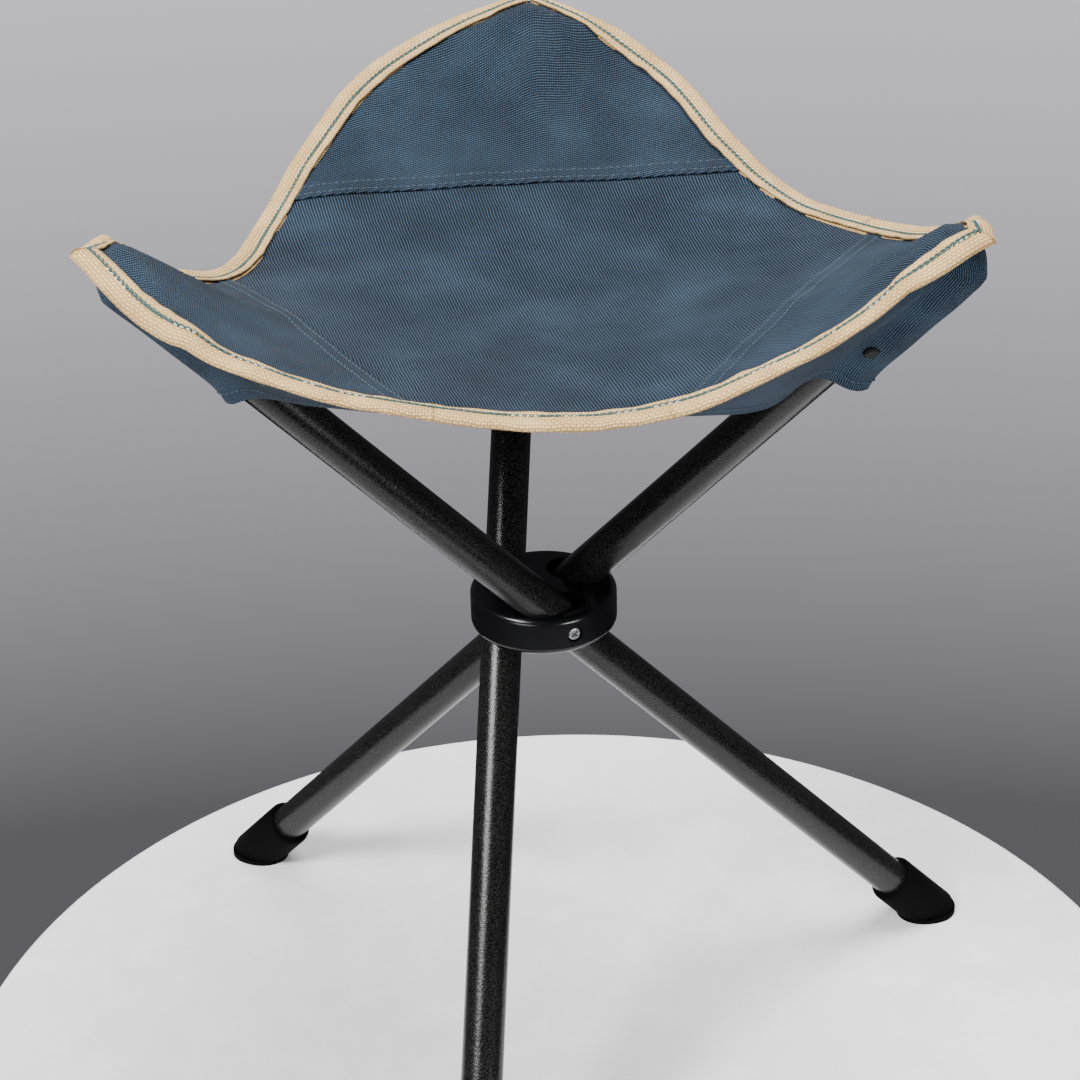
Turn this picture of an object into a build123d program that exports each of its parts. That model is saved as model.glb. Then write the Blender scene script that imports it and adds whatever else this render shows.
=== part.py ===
"""Folding three-leg stool: three tubes crossing in a slotted hub, with a cloth seat hung from their tops."""

import os
from math import cos, pi, radians, sin, sqrt, tan

from build123d import *

os.makedirs("parts", exist_ok=True)

# Where the hub's vertical axis stands in the row frame, whose origin is the middle of the part's footprint.
HUB_X = -13.25
HUB_Y = 7.57

# Legs
TUBE_D = 19.0
TUBE_WALL = 1.5
LEG_TILT = 42.0  # from vertical, legs open
LEG_UP = 287.0  # pivot to the tube's upper end
LEG_DOWN = 315.0  # pivot to the floor, along the leg's axis
FOOT_GAP = 14.0  # floor to the tube's lower end, along the leg's axis
PIVOT_R = 18.9  # hub axis to leg axis
PIVOT_AZIMUTH = {"a": -65.6, "b": 54.4, "c": 174.4}
TIP_AZIMUTH = {"a": -150.0, "b": -30.0, "c": 90.0}

# Hub
HUB_D = 68.4
HUB_T = 18.6
HUB_EDGE = 3.2
SLOT_GAP = 0.4
SCREW_D = 4.0
SCREW_FIT = 0.06
HEAD_D = 6.4
HEAD_T = 2.0
HEAD_SINK = 0.7
HEAD_EDGE = 0.8
DRIVE_W = 3.4  # cross recess, tip to tip
DRIVE_SLOT = 0.8
DRIVE_DEPTH = 1.3
COUNTERBORE_D = 7.6
SCREW_END_R = 4.2
SCREW_END_GAP = 0.3
THREAD_FIT = 0.02

# Rubber feet and tube plugs
FOOT_D = 24.8
FOOT_LEN = 37.0
PAD_T = 2.6
PAD_LIP = 1.6
TOE_REACH = 11.6  # middle of the pad to its blunt outer end
FOOT_EDGE = 1.5
PLUG_LEN = 14.0
PLUG_WALL = 2.0
PLUG_FIT = 0.05
PLUG_CAP = 2.0
PLUG_EDGE = 1.5

# Cloth seat
SEAT_LOW = 385.0  # middle of the seat
SEAT_EDGE = 399.0  # middle of each edge
SEAT_TIP = 462.0  # over the leg tops
TIP_R = 212.0
KNEE_R = 187.0
EDGE_R = 151.0
EDGE_POWER = 3.0
HEM_R = 106.0
LAP = 8.0
PANEL_REACH = 145.0
CLOTH_T = 1.2
PLY_GAP = 1.4
TAPE_W = 11.0
TAPE_T = 1.0
TAPE_IN = 3.4
TAPE_END = 0.88  # how far each tape runs towards the tips, as a share of the half edge
TAPE_TILT = 1.2  # how far the folded tape sits below the cloth

# Pocket sewn under each corner: sections square to the leg, by distance up it from the pivot
POCKET_STATIONS = (216, 226, 238, 250, 260, 268, 276, 283)
POCKET_SIDE = 12.0  # where the pocket leaves the cloth, in from its edges
POCKET_IN = 4.0
POCKET_DROP = 0.8
POCKET_R = 11.0

# Rivet through each pocket into its tube
RIVET_BACK = 56.0
RIVET_TURN = 38.0  # round the tube from its lower side
RIVET_HEAD_D = 8.0
RIVET_HEAD_T = 1.8
RIVET_HEAD_EDGE = 1.4
RIVET_STANDOFF = 3.0
RIVET_TAIL = 1.2
RIVET_SHANK_D = 3.2
RIVET_FIT = 0.05
RIVET_CLOTH_FIT = 0.3

TILT = radians(LEG_TILT)
HUB_H = LEG_DOWN * cos(TILT)
HUB_AXIS = Vector(HUB_X, HUB_Y, 0)
UP = Vector(0, 0, 1)
HALF_CHORD = TIP_R * sin(radians(60))
CHORD_R = TIP_R * cos(radians(60))


def direction(azimuth):
    return Vector(cos(radians(azimuth)), sin(radians(azimuth)), 0)


def leg_plane(name):
    """Plane square to a leg at its pivot: x runs out from the hub axis, z up the leg."""
    out = direction(PIVOT_AZIMUTH[name])
    across = direction(PIVOT_AZIMUTH[name] + 90)
    origin = HUB_AXIS + UP * HUB_H + out * PIVOT_R
    return Plane(origin=origin, x_dir=out, z_dir=UP * cos(TILT) - across * sin(TILT))


def screw_plane(name, radius):
    """Plane square to a pivot screw at a distance from the hub axis, facing outwards."""
    out = direction(PIVOT_AZIMUTH[name])
    return Plane(origin=HUB_AXIS + UP * HUB_H + out * radius, x_dir=UP, z_dir=out)


def seat_z(x, y):
    """Height of the cloth over a point given from the hub axis."""
    radius = sqrt(x * x + y * y) + 1e-9
    best = max(direction(a).dot(Vector(x, y, 0)) / radius for a in TIP_AZIMUTH.values())
    triple = 4 * best**3 - 3 * best
    share = ((1 + triple) / 2) ** 1.5
    level = radius / KNEE_R / (1 + (radius / KNEE_R) ** 14) ** (1 / 14)
    rise = (SEAT_TIP - SEAT_LOW) * level**1.9
    edge = (SEAT_EDGE - SEAT_LOW) * (level * KNEE_R / EDGE_R) ** 2
    return SEAT_LOW + rise * share + edge * (1 - share)


def edge_out(along):
    """Distance from the hub axis line to a seat edge, at a distance along it from its middle."""
    share = min(abs(along) / HALF_CHORD, 1.0)
    return CHORD_R + (EDGE_R - CHORD_R) * (1 - share**EDGE_POWER)


def half_width(radius, inset):
    """Half the width of a seat corner at a distance from the hub axis, to a line inset from its edges."""
    radius += inset
    low, high = 0.0, HALF_CHORD
    for _ in range(50):
        along = (low + high) / 2
        if along * sin(radians(60)) + edge_out(along) * cos(radians(60)) < radius:
            low = along
        else:
            high = along
    return edge_out(low) * sin(radians(60)) - low * cos(radians(60)) - inset


def inside_panel(x, y):
    """True where the middle panel reaches, short of the edge tapes and just past the corner hems."""
    point = Vector(x, y, 0)
    for azimuth in TIP_AZIMUTH.values():
        if direction(azimuth).dot(point) > HEM_R + LAP:
            return False
        out = direction(azimuth + 60)
        along = direction(azimuth + 150).dot(point)
        if out.dot(point) > edge_out(along) - 3:
            return False
    return True


def reach(x, sign):
    """How far the middle panel runs across the seat at x, in the direction of sign."""
    start = 0.22 * abs(x)
    low, high = 0.0, 200.0
    for _ in range(40):
        middle = (low + high) / 2
        if inside_panel(x, start + sign * middle):
            low = middle
        else:
            high = middle
    return start + sign * low


def ribbon(upper, thickness):
    """Closed outline of a band of even thickness below a row of points running from left to right."""
    lower = []
    for index, (u, v) in enumerate(upper):
        before = upper[max(index - 1, 0)]
        after = upper[min(index + 1, len(upper) - 1)]
        first = Vector(v - before[1], before[0] - u) if index else Vector(after[1] - v, u - after[0])
        second = Vector(after[1] - v, u - after[0]) if after != (u, v) else first
        middle = (first.normalized() + second.normalized()).normalized()
        offset = middle * (thickness / middle.dot(first.normalized()))
        lower.append((u + offset.X, v + offset.Y))
    return upper + lower[::-1]


def below_cloth(plane, across):
    """How far up a plane square to a leg the cloth is, at a distance across it from the leg's axis."""
    low, high = 0.0, TUBE_D * 4
    for _ in range(40):
        up = (low + high) / 2
        point = plane.origin + plane.x_dir * across + plane.y_dir * up - HUB_AXIS
        if point.Z < seat_z(point.X, point.Y) - POCKET_DROP:
            low = up
        else:
            high = up
    return low


def pocket_reach(plane, tip, sign):
    """How far a plane square to a leg runs to one side before it meets the seat's edge."""
    low, high = 0.0, HALF_CHORD
    for _ in range(40):
        across = (low + high) / 2
        rise = plane.y_dir * below_cloth(plane, sign * across)
        point = plane.origin + plane.x_dir * sign * across + rise - HUB_AXIS
        radius = tip.dot(point)
        if abs(tip.cross(point).Z) < half_width(radius, POCKET_IN):
            low = across
        else:
            high = across
    return sign * low


# Hub, slotted for the three legs to swing from folded to open
with BuildPart() as hub:
    with BuildSketch(Plane(origin=HUB_AXIS + UP * (HUB_H - HUB_T / 2))):
        Circle(HUB_D / 2)
    extrude(amount=HUB_T)
    fillet(hub.edges().filter_by(GeomType.CIRCLE), HUB_EDGE)
    for name in PIVOT_AZIMUTH:
        open_leg = leg_plane(name)
        folded_leg = Plane(origin=open_leg.origin, x_dir=open_leg.x_dir, z_dir=UP)
        for axis_plane in (open_leg, folded_leg):
            with BuildSketch(axis_plane):
                Circle(TUBE_D / 2 + SLOT_GAP)
            extrude(amount=HUB_T * 2, both=True, mode=Mode.SUBTRACT)
        wedge_h = HUB_T
        wedge_w = HUB_T * tan(TILT)
        with BuildSketch(Plane(origin=open_leg.origin, x_dir=UP.cross(open_leg.x_dir), z_dir=open_leg.x_dir)):
            with BuildLine():
                Polyline((0, 0), (0, wedge_h), (-wedge_w, wedge_h), close=True)
            make_face()
            with BuildLine():
                Polyline((0, 0), (0, -wedge_h), (wedge_w, -wedge_h), close=True)
            make_face()
        extrude(amount=TUBE_D / 2 + SLOT_GAP, both=True, mode=Mode.SUBTRACT)
    for name in PIVOT_AZIMUTH:
        with BuildSketch(screw_plane(name, SCREW_END_R - SCREW_END_GAP)):
            Circle(SCREW_D / 2 + THREAD_FIT)
        extrude(amount=HUB_D / 2, mode=Mode.SUBTRACT)
        with BuildSketch(screw_plane(name, HUB_D / 2 - HEAD_SINK - HEAD_T)):
            Circle(COUNTERBORE_D / 2)
        extrude(amount=HEAD_T + 3, mode=Mode.SUBTRACT)
hub.part.label = "hub"
export_step(hub.part, "parts/hub.step")

# Pivot screws, one through each leg and into the hub's core
for name in PIVOT_AZIMUTH:
    head_r = HUB_D / 2 - HEAD_SINK - HEAD_T
    with BuildPart() as pivot_screw:
        with BuildSketch(screw_plane(name, SCREW_END_R)):
            Circle(SCREW_D / 2)
        extrude(amount=head_r - SCREW_END_R)
        with BuildSketch(screw_plane(name, head_r)):
            Circle(HEAD_D / 2)
        extrude(amount=HEAD_T)
        outward = Axis(HUB_AXIS + UP * HUB_H, direction(PIVOT_AZIMUTH[name]))
        fillet(pivot_screw.faces().sort_by(outward)[-1].edges(), HEAD_EDGE)
        with BuildSketch(screw_plane(name, head_r + HEAD_T)):
            Rectangle(DRIVE_W, DRIVE_SLOT, rotation=45)
            Rectangle(DRIVE_SLOT, DRIVE_W, rotation=45)
        extrude(amount=-DRIVE_DEPTH, mode=Mode.SUBTRACT)
    pivot_screw.part.label = f"pivot_screw_{name}"
    export_step(pivot_screw.part, f"parts/pivot_screw_{name}.step")

# Legs: tube, rubber foot and end plug
for name in PIVOT_AZIMUTH:
    axis = leg_plane(name)
    tube_end = LEG_DOWN - FOOT_GAP
    flank = axis.y_dir * -cos(radians(RIVET_TURN)) - axis.x_dir * sin(radians(RIVET_TURN))
    rivet_side = Plane(origin=axis.origin + axis.z_dir * (LEG_UP - RIVET_BACK), x_dir=axis.z_dir, z_dir=flank)

    with BuildPart() as leg_tube:
        with BuildSketch(axis.offset(-tube_end)):
            Circle(TUBE_D / 2)
            Circle(TUBE_D / 2 - TUBE_WALL, mode=Mode.SUBTRACT)
        extrude(amount=tube_end + LEG_UP)
        with BuildSketch(screw_plane(name, PIVOT_R)):
            Circle(SCREW_D / 2 + SCREW_FIT)
        extrude(amount=TUBE_D, both=True, mode=Mode.SUBTRACT)
        with BuildSketch(rivet_side):
            Circle(RIVET_SHANK_D / 2 + RIVET_FIT)
        extrude(amount=TUBE_D, mode=Mode.SUBTRACT)
    leg_tube.part.label = f"leg_tube_{name}"
    export_step(leg_tube.part, f"parts/leg_tube_{name}.step")

    with BuildPart() as leg_end_plug:
        with BuildSketch(axis.offset(LEG_UP - PLUG_LEN)):
            Circle(TUBE_D / 2 - TUBE_WALL - PLUG_FIT)
            Circle(TUBE_D / 2 - TUBE_WALL - PLUG_WALL, mode=Mode.SUBTRACT)
        extrude(amount=PLUG_LEN)
        with BuildSketch(axis.offset(LEG_UP)):
            Circle(TUBE_D / 2)
        extrude(amount=PLUG_CAP)
        fillet(leg_end_plug.faces().sort_by(Axis(axis.origin, axis.z_dir))[-1].edges(), PLUG_EDGE)
    leg_end_plug.part.label = f"leg_end_plug_{name}"
    export_step(leg_end_plug.part, f"parts/leg_end_plug_{name}.step")

    pad_centre = axis.origin - axis.z_dir * LEG_DOWN
    toe = Vector(-axis.z_dir.X, -axis.z_dir.Y, 0).normalized()
    pad = Plane(origin=pad_centre, x_dir=toe, z_dir=UP)
    with BuildPart() as leg_foot:
        with BuildSketch(axis.offset(-LEG_DOWN - FOOT_D)):
            Circle(FOOT_D / 2)
        extrude(amount=FOOT_LEN + FOOT_D)
        fillet(leg_foot.faces().sort_by(Axis(axis.origin, axis.z_dir))[-1].edges(), FOOT_EDGE)
        split(bisect_by=pad, keep=Keep.TOP)
        with BuildSketch(pad):
            Rectangle(FOOT_D, FOOT_D * 2, align=(Align.MIN, Align.CENTER))
            Ellipse(TOE_REACH, FOOT_D / 2, mode=Mode.SUBTRACT)
        extrude(amount=FOOT_LEN, mode=Mode.SUBTRACT)
        with BuildSketch(pad):
            Ellipse(FOOT_D / 2 / cos(TILT) + PAD_LIP, FOOT_D / 2 + PAD_LIP)
            Rectangle(FOOT_D, FOOT_D * 2, align=(Align.MIN, Align.CENTER), mode=Mode.SUBTRACT)
            Ellipse(TOE_REACH + PAD_LIP, FOOT_D / 2 + PAD_LIP)
        extrude(amount=PAD_T)
        with BuildSketch(axis.offset(-tube_end)):
            Circle(TUBE_D / 2)
        extrude(amount=FOOT_LEN, mode=Mode.SUBTRACT)
    leg_foot.part.label = f"leg_foot_{name}"
    export_step(leg_foot.part, f"parts/leg_foot_{name}.step")

    with BuildPart() as pocket_rivet:
        with BuildSketch(rivet_side.offset(TUBE_D / 2 - TUBE_WALL - RIVET_TAIL)):
            Circle(RIVET_SHANK_D / 2)
        extrude(amount=RIVET_TAIL + TUBE_WALL + RIVET_STANDOFF)
        with BuildSketch(rivet_side.offset(TUBE_D / 2 + RIVET_STANDOFF)):
            Circle(RIVET_HEAD_D / 2)
        extrude(amount=RIVET_HEAD_T)
        outward = Axis(axis.origin, rivet_side.z_dir)
        fillet(pocket_rivet.faces().sort_by(outward)[-1].edges(), RIVET_HEAD_EDGE)
    pocket_rivet.part.label = f"pocket_rivet_{name}"
    export_step(pocket_rivet.part, f"parts/pocket_rivet_{name}.step")

    # Seat corner: the upper ply from the hem to the tip, and the pocket sewn below it around the tube
    tip = direction(TIP_AZIMUTH[name])
    side = direction(TIP_AZIMUTH[name] + 90)

    with BuildPart() as corner_patch:
        for radius in (HEM_R, 124, 142, 160, 174, 187, 197, 206):
            width = half_width(radius, 3)
            spots = [width * step / 5 for step in range(-5, 6)]
            top = []
            for spot in spots:
                point = tip * radius + side * spot
                top.append((spot, seat_z(point.X, point.Y) + CLOTH_T))
            with BuildSketch(Plane(origin=HUB_AXIS + tip * radius, x_dir=side, z_dir=tip)):
                with BuildLine():
                    Polyline(*ribbon(top, CLOTH_T), close=True)
                make_face()
        loft(ruled=True)
    corner_patch.part.label = f"corner_patch_{name}"
    export_step(corner_patch.part, f"parts/corner_patch_{name}.step")

    with BuildPart() as pocket:
        for station in POCKET_STATIONS:
            section = axis.offset(station)
            left = pocket_reach(section, tip, -1)
            right = pocket_reach(section, tip, 1)
            inner = (min(left + POCKET_SIDE, -POCKET_R - 1), max(right - POCKET_SIDE, POCKET_R + 1))
            spots = (min(left, inner[0] - 3), inner[0], inner[1], max(right, inner[1] + 3))
            drops = [(spot, below_cloth(section, spot)) for spot in spots]
            loop = []
            for turn in range(-80, 81, 20):
                loop.append((POCKET_R * sin(radians(turn)), -POCKET_R * cos(radians(turn))))
            with BuildSketch(section):
                with BuildLine():
                    Polyline(*ribbon(drops[:2] + loop + drops[2:], CLOTH_T), close=True)
                make_face()
        loft(ruled=True)
        with BuildSketch(rivet_side):
            Circle(RIVET_SHANK_D / 2 + RIVET_CLOTH_FIT)
        extrude(amount=TUBE_D, mode=Mode.SUBTRACT)
    pocket.part.label = f"pocket_{name}"
    export_step(pocket.part, f"parts/pocket_{name}.step")

# Middle panel of the seat, lapping a little way under each corner hem
with BuildPart() as seat_panel:
    for step in range(-8, 9):
        x = PANEL_REACH * step / 8
        low = reach(x, -1)
        high = reach(x, 1)
        top = []
        for row in range(11):
            y = low + (high - low) * row / 10
            top.append((y, seat_z(x, y) - PLY_GAP))
        with BuildSketch(Plane(origin=HUB_AXIS + Vector(x, 0, 0), x_dir=(0, 1, 0), z_dir=(1, 0, 0))):
            with BuildLine():
                Polyline(*ribbon(top, CLOTH_T), close=True)
            make_face()
    loft(ruled=True)
seat_panel.part.label = "seat_panel"
export_step(seat_panel.part, "parts/seat_panel.step")

# Woven tape folded over each edge of the seat
for name, azimuth in (("front", -90.0), ("right", 30.0), ("left", 150.0)):
    out = direction(azimuth)
    along_dir = direction(azimuth + 90)
    with BuildPart() as binding:
        for step in range(-12, 13):
            along = HALF_CHORD * TAPE_END * sin(pi / 24 * step)
            slope = edge_out(along + 0.5) - edge_out(along - 0.5)
            tangent = (along_dir + out * slope).normalized()
            normal = tangent.cross(UP)
            edge = out * edge_out(along) + along_dir * along
            back = edge - normal * TAPE_W
            edge_z = seat_z(edge.X, edge.Y)
            back_z = seat_z(back.X, back.Y)
            skin = TAPE_IN + TAPE_T
            loop = [
                (1.6, edge_z + skin - TAPE_TILT),
                (-TAPE_W, back_z + skin - TAPE_TILT),
                (-TAPE_W, back_z + TAPE_IN - TAPE_TILT),
                (0.6, edge_z + TAPE_IN - TAPE_TILT),
                (0.6, edge_z - TAPE_IN),
                (-TAPE_W, back_z - TAPE_IN),
                (-TAPE_W, back_z - skin),
                (1.6, edge_z - skin),
            ]
            with BuildSketch(Plane(origin=HUB_AXIS + edge, x_dir=normal, z_dir=tangent * -1)):
                with BuildLine():
                    Polyline(*loop, close=True)
                make_face()
        loft(ruled=True)
    binding.part.label = f"binding_{name}"
    export_step(binding.part, f"parts/binding_{name}.step")
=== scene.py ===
"""Folding three-leg stool: its slung cloth seat, edge tapes, stitching and materials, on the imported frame."""

from math import cos, pi, radians, sin

import bpy
import numpy as np
from mathutils import Matrix, Vector, noise


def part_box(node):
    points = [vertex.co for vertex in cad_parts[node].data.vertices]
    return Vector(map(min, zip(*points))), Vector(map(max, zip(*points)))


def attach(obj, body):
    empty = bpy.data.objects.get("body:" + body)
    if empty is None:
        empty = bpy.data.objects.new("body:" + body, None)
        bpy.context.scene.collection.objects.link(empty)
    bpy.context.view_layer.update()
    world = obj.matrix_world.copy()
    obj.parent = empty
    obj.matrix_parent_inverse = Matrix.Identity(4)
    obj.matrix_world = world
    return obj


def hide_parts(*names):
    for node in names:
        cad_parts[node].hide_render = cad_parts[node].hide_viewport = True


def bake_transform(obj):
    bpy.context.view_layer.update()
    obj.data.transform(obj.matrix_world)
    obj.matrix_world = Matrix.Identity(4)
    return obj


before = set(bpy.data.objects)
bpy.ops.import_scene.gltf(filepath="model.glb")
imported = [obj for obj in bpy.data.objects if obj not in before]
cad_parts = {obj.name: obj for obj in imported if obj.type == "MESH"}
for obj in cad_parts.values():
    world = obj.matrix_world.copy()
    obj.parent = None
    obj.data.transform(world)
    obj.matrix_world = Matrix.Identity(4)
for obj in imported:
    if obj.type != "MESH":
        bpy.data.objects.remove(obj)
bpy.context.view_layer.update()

MM = 0.001
TINY = 1e-9
CORNERS = {"a": -150.0, "b": -30.0, "c": 90.0}
HUB_LOW, HUB_HIGH = (np.array(corner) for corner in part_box("hub"))
HUB_AXIS = np.array([(HUB_LOW[0] + HUB_HIGH[0]) / 2, (HUB_LOW[1] + HUB_HIGH[1]) / 2, 0.0]) / MM

# Seat edges, millimetres: the distance out from the hub axis and the height, at knots from corner to corner
TIP_R = 212.0
KNOTS = (-1, -0.85, -0.6, -0.3, 0, 0.3, 0.6, 0.85, 1)
EDGES = {
    "front": {
        "facing": -90.0,
        "ends": ("a", "b"),
        "body": "seat_a",
        "out": (106, 134, 147, 154, 152, 149, 140, 123, 105),
        "height": (462, 442, 423, 411, 402, 404, 424, 446, 457),
    },
    "right": {
        "facing": 30.0,
        "ends": ("b", "c"),
        "body": "seat_b",
        "out": (105, 123, 140, 147, 144, 142, 142, 126, 107),
        "height": (457, 444, 424, 408, 403, 415, 434, 448, 456),
    },
    "left": {
        "facing": 150.0,
        "ends": ("c", "a"),
        "body": "seat_c",
        "out": (107, 132, 155, 160, 150, 132, 129, 118, 106),
        "height": (456, 449, 434, 409, 391, 394, 417, 443, 462),
    },
}
SAG = 33.0
DISC_R = 180.0  # rough size of the seat, from which the search for a place in the film starts
SEARCH_STEPS = 14
SEARCH_LIMIT = 1.03
LAP = 9.0
CLOTH_T = 0.9
PLY_LIFT = 0.75

# The cloth's ridge over each leg's top
KNEE_R = 188.0
KNEE_H = 457.0
RIDGE_IN = 0.75
RIDGE_OUT = 0.1
RIDGE_SIDE = 0.42
RIDGE_SOFT = 4.0
RIDGE_CROWN = 6.0

# Creases and unevenness
PULL_H = 0.9
PULLS = 17
PULL_NEAR = 45.0
PULL_FAR = 70.0
LUMP = 55.0
LUMP_H = 1.0
SMALL_LUMPS = 3.1
SMALL_SHARE = 0.3

# Corner hems' distances from the hub axis, and the seat cloth's and the folded tape's measures
HEMS = {"a": 113.0, "b": 119.0, "c": 96.0}
EDGE_IN = 6.0
INSET_OUT = 0.7
INSET_SIDE = 0.8
LEAST_REACH = 0.3
TAPE_RISE = 0.6
TAPE_SEAM = -7.2
STITCH = 3.0


def unit(azimuth):
    """The level direction at an azimuth in degrees."""
    return np.array([cos(radians(azimuth)), sin(radians(azimuth)), 0.0])


def through(knots, values, at):
    """A smooth curve through values at knots, read at other places."""
    knots, values, at = np.asarray(knots, float), np.asarray(values, float), np.asarray(at, float)
    slope = np.gradient(values, knots)
    i = np.clip(np.searchsorted(knots, at) - 1, 0, len(knots) - 2)
    span = knots[i + 1] - knots[i]
    t = (at - knots[i]) / span
    h = (2 * t**3 - 3 * t**2 + 1, t**3 - 2 * t**2 + t, -2 * t**3 + 3 * t**2, t**3 - t**2)
    return h[0] * values[i] + h[1] * span * slope[i] + h[2] * values[i + 1] + h[3] * span * slope[i + 1]


def edge_line(name, at):
    """Points of a seat edge, millimetres from the hub axis, at shares from -1 to 1 between its corners."""
    edge = EDGES[name]
    along = np.asarray(at)[:, None] * TIP_R * sin(radians(60)) * unit(edge["facing"] + 90)
    out = through(KNOTS, edge["out"], at)[:, None] * unit(edge["facing"])
    line = along + out
    line[:, 2] = through(KNOTS, edge["height"], at)
    return line


# The cloth is a soap film in this closed rim, as a power series over a disc, with a sag towards the middle
RIM_STEPS = 240
RIM = np.concatenate([edge_line(name, np.linspace(-1, 1, RIM_STEPS, endpoint=False)) for name in EDGES])
TERMS = 60
SERIES = np.fft.rfft(RIM, axis=0)[:TERMS] / len(RIM)
SERIES[1:] *= 2 * np.exp(1j * np.arange(1, TERMS) * radians(-CORNERS["a"]))[:, None]


def film(w, column, slope=False):
    """One coordinate of the film at complex places in the unit disc, or its derivative."""
    terms = SERIES[:, column]
    if slope:
        terms = terms[1:] * np.arange(1, TERMS)
    return np.polynomial.polynomial.polyval(w, terms)


def smooth_max(a, b, soft):
    """The larger of two heights, rounded where they cross."""
    return (a + b + np.sqrt((a - b) ** 2 + soft**2)) / 2


def creases(x, y):
    """Soft pulls that run in from the corners, and a little unevenness all over, in millimetres."""
    height = np.zeros(x.shape)
    for azimuth in CORNERS.values():
        dx, dy = x - unit(azimuth)[0] * TIP_R, y - unit(azimuth)[1] * TIP_R
        far = np.hypot(dx, dy)
        turn = np.arctan2(dy, dx)
        fade = (1 - np.exp(-((far / PULL_NEAR) ** 2))) * np.exp(-far / PULL_FAR)
        height += PULL_H * np.sin(PULLS * turn + radians(azimuth)) * fade
    flat_x, flat_y, rough = x.ravel(), y.ravel(), np.zeros(x.size)
    for i in range(x.size):
        place = Vector((flat_x[i], flat_y[i], 0)) / LUMP
        rough[i] = noise.noise(place) + SMALL_SHARE * noise.noise(place * SMALL_LUMPS + Vector((7, 3, 1)))
    return height + LUMP_H * rough.reshape(x.shape)


def cloth_height(x, y):
    """Height of the seat's cloth over points measured from the hub axis, all in millimetres."""
    x, y = np.asarray(x, float), np.asarray(y, float)
    w = (x + 1j * y) / DISC_R
    for _ in range(SEARCH_STEPS):
        fx, fy = film(w, 0).real - x, film(w, 1).real - y
        gx, gy = film(w, 0, True), film(w, 1, True)
        det = gx.real * -gy.imag + gx.imag * gy.real
        step = (fx * -gy.imag + gx.imag * fy) / det + 1j * (gx.real * fy - gy.real * fx) / det
        w = w - step
        w = w * np.minimum(1, SEARCH_LIMIT / np.maximum(abs(w), TINY))
    height = film(w, 2).real - SAG * (1 - abs(w) ** 2)
    for azimuth in CORNERS.values():
        tip, side = unit(azimuth), unit(azimuth + 90)
        radius = x * tip[0] + y * tip[1]
        aside = np.sqrt((x * side[0] + y * side[1]) ** 2 + RIDGE_CROWN**2) - RIDGE_CROWN
        inside = np.minimum(radius - KNEE_R, 0)
        outside = np.maximum(radius - KNEE_R, 0)
        ridge = KNEE_H + RIDGE_IN * inside - RIDGE_OUT * outside - RIDGE_SIDE * aside
        height = smooth_max(height, ridge, RIDGE_SOFT)
    return height + creases(x, y)


def on_cloth(x, y, lift=0.0):
    """Points on the seat's cloth, lifted square to it, millimetres from the hub axis, and its normals."""
    x, y = np.asarray(x, float), np.asarray(y, float)
    z = cloth_height(x, y)
    dx = z - cloth_height(x - 1.0, y)
    dy = z - cloth_height(x, y - 1.0)
    normal = np.stack([-dx, -dy, np.ones_like(dx)], -1)
    normal /= np.linalg.norm(normal, axis=-1, keepdims=True)
    return np.stack([x, y, z], -1) + normal * np.broadcast_to(lift, x.shape)[..., None], normal


def wobble(values, seed, pitch):
    """Even noise from -1 to 1 along a row of places in millimetres."""
    return np.array([noise.noise(Vector((value / pitch, seed, 0.5 * seed))) for value in values])


# Meshes


def add_mesh(name, vertices, faces, materials, spots, kinds=None):
    """A smooth mesh from points in millimetres from the hub axis; spots are places on the flat cloth."""
    mesh = bpy.data.meshes.new(name)
    mesh.from_pydata((np.asarray(vertices) + HUB_AXIS) * MM, [], faces)
    layer = mesh.uv_layers.new(name="Weave")
    corners = np.empty(len(mesh.loops), int)
    mesh.loops.foreach_get("vertex_index", corners)
    layer.data.foreach_set("uv", (np.asarray(spots, float)[corners] * MM).ravel())
    mesh.shade_smooth()
    for material in materials:
        mesh.materials.append(material)
    if kinds is not None:
        mesh.polygons.foreach_set("material_index", kinds)
    piece = bpy.data.objects.new(name, mesh)
    bpy.context.scene.collection.objects.link(piece)
    return piece


def grid_faces(rows, columns, start=0, closed=False, flip=False):
    """Quads between the rows of a grid of points, joined round into a tube where closed."""
    faces = []
    for i in range(rows - 1):
        for j in range(columns if closed else columns - 1):
            k = (j + 1) % columns
            near, far = start + i * columns, start + (i + 1) * columns
            face = [near + j, far + j, far + k, near + k]
            faces.append(face[::-1] if flip else face)
    return faces


def sheet_mesh(name, top, spots, thickness, material, closed=False):
    """A closed thin sheet under a grid of points, or under a disc of rings where closed."""
    rows, columns = top.shape[:2]
    across = (np.roll(top, -1, 1) - np.roll(top, 1, 1)) if closed else np.gradient(top, axis=1)
    normal = np.cross(np.gradient(top, axis=0), across)
    normal /= np.linalg.norm(normal, axis=-1, keepdims=True) + 1e-12
    low = top - normal * np.broadcast_to(thickness, (rows, columns))[..., None]
    count = rows * columns
    faces = grid_faces(rows, columns, 0, closed) + grid_faces(rows, columns, count, closed, flip=True)
    last = (rows - 1) * columns
    if closed:
        faces.append(list(range(columns)))
        faces.append([count + j for j in reversed(range(columns))])
        ring = [last + j for j in reversed(range(columns))]
    else:
        ring = list(range(columns)) + [i * columns + columns - 1 for i in range(1, rows)]
        ring += [last + j for j in reversed(range(columns - 1))]
        ring += [i * columns for i in reversed(range(1, rows - 1))]
    for a, b in zip(ring, ring[1:] + ring[:1]):
        faces.append([a, b, b + count, a + count])
    vertices = np.concatenate([top.reshape(-1, 3), low.reshape(-1, 3)])
    return add_mesh(name, vertices, faces, [material], np.concatenate([spots.reshape(-1, 2)] * 2))


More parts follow.
